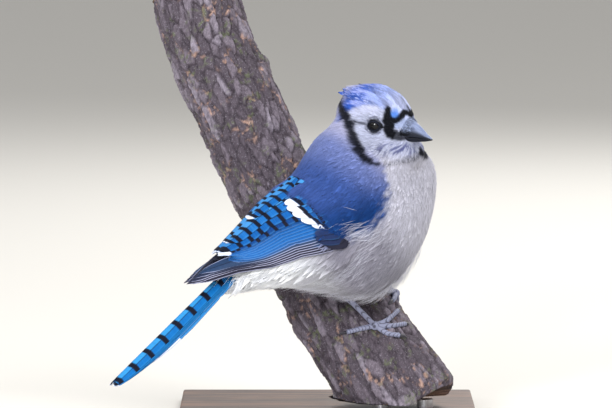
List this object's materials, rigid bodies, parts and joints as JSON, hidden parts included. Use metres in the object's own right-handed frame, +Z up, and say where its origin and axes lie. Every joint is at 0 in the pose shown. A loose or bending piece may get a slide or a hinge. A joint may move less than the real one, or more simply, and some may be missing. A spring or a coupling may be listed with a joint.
{
  "type": "perched blue jay display model",
  "caption": "Life-size still blue jay with folded wings and a long barred tail, head turned, perched on a cut length of branch on a flat display stand.",
  "frame": {"origin": "on the floor under the middle of the whole model's bounding box, in the plane of the base's underside", "axes": "+Z up; +X to the viewer's right in the picture, the way the bird faces; +Y away from the viewer"},
  "size_m": [0.1998, 0.1902, 0.247],
  "materials": {
    "torso": "soft body feathers, lavender blue on the mantle and pale grey white below",
    "neck": "soft body feathers, pale lavender with a black necklace",
    "head": "crown feathers lavender blue, face white with black lores and line",
    "bill": "satin horn, blue grey above and nearly black below",
    "eye": "wet black brown eye",
    "wing": "bright blue flight feathers with black bars and white tips",
    "tail": "bright blue tail feathers with black bars and white tips",
    "leg": "slate grey scaled skin",
    "claw": "dark satin horn",
    "perch": "rough flaking grey brown bark",
    "stand_wood": "dark oiled wood, satin",
    "stand_metal": "brushed steel rod"
  },
  "bodies": {
    "root": {"torso": "torso", "neck": "neck", "head": "head", "bill_upper": "bill", "bill_lower": "bill", "eye_right": "eye", "eye_left": "eye", "wing_right": "wing", "wing_left": "wing", "tail": "tail", "leg_right": "leg", "leg_left": "leg", "foot_right": "leg", "foot_left": "leg", "claw_right_1": "claw", "claw_right_2": "claw", "claw_right_3": "claw", "claw_right_4": "claw", "claw_left_1": "claw", "claw_left_2": "claw", "claw_left_3": "claw", "claw_left_4": "claw", "perch": "perch", "stand_base": "stand_wood", "stand_rod_1": "stand_metal", "stand_rod_2": "stand_metal"}
  },
  "joints": []
}
